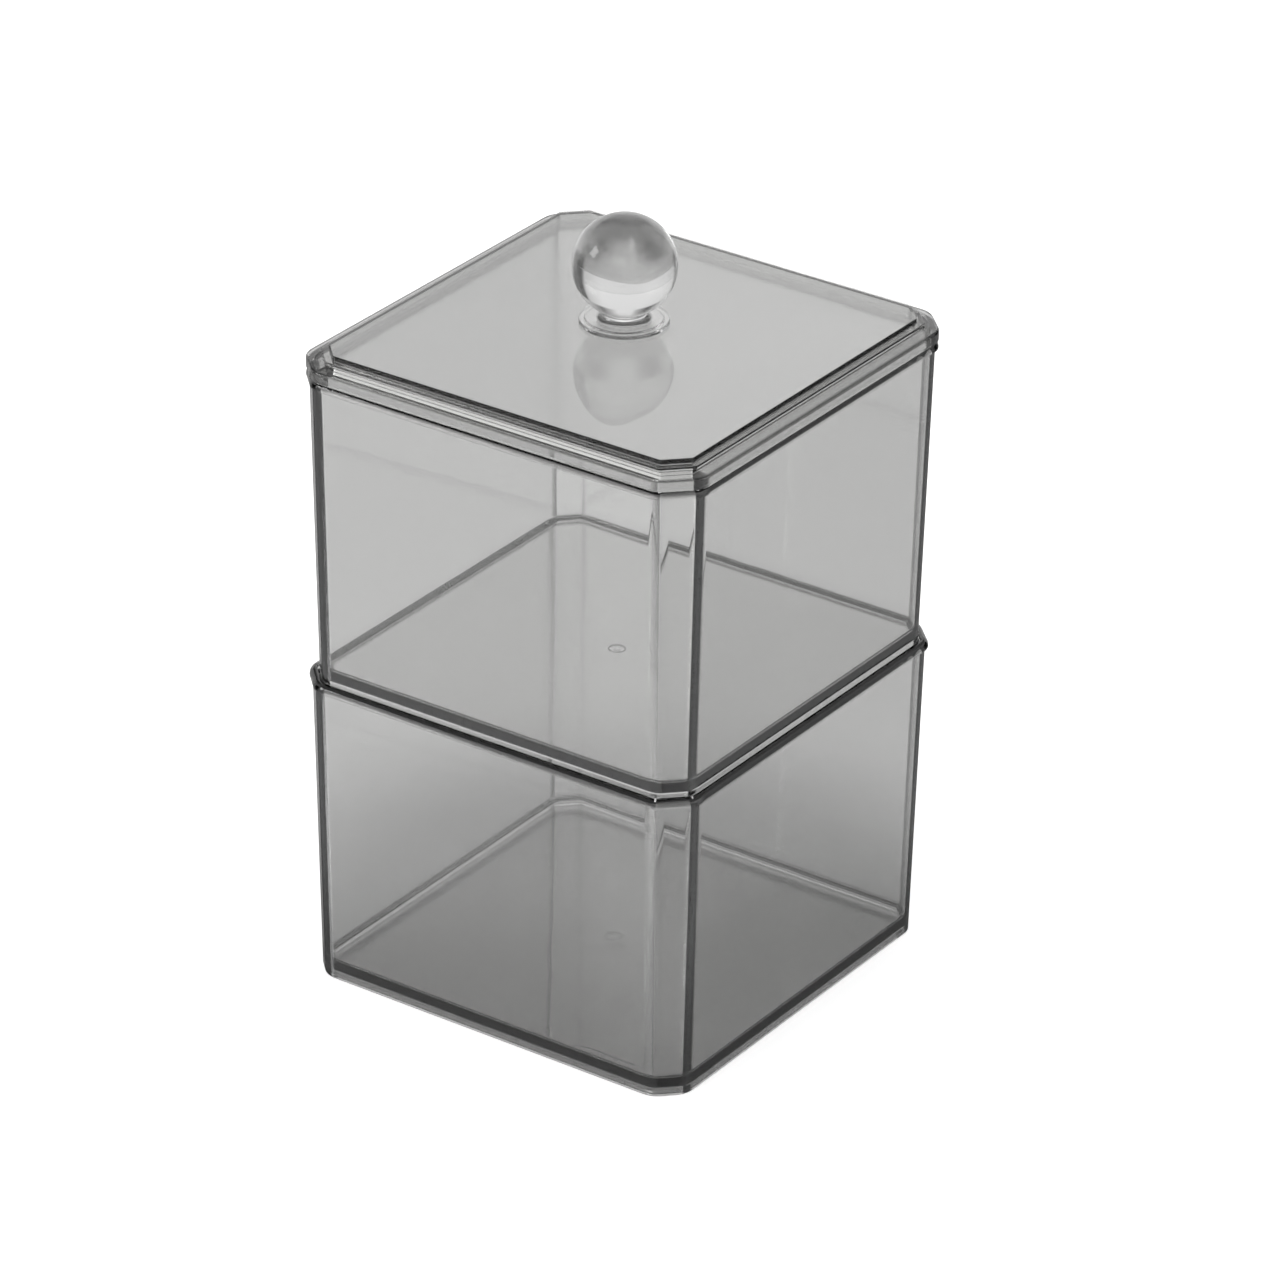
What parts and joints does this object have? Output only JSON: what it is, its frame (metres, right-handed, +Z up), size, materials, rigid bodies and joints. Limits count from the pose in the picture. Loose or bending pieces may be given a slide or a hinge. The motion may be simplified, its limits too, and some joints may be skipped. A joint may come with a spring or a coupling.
{
  "type": "stacking cotton swab holder",
  "caption": "Stacking octagonal storage boxes in clear smoke plastic with a lift-off crowned lid and ball knob.",
  "frame": {"origin": "middle of the lower box's foot, on the surface that the holder stands on", "axes": "+Z up through the knob; +X and -Y are the two side walls that face the viewer in the picture"},
  "size_m": [0.093, 0.093, 0.16],
  "materials": {
    "smoke_polystyrene": "clear smoke-grey polystyrene, polished mould finish",
    "smoke_knob": "solid clear smoke-grey plastic, polished"
  },
  "bodies": {
    "lower_tier": {"lower_box": "smoke_polystyrene"},
    "upper_tier": {"upper_box": "smoke_polystyrene"},
    "cover": {"lid": "smoke_polystyrene", "ball_knob": "smoke_knob"}
  },
  "joints": [
    {"name": "upper_box_lift", "type": "slide", "parent": "lower_tier", "child": "upper_tier", "axis": [0, 0, 1], "range_m": [0, 0.09]},
    {"name": "lid_lift", "type": "slide", "parent": "upper_tier", "child": "cover", "axis": [0, 0, 1], "range_m": [0, 0.07]}
  ]
}
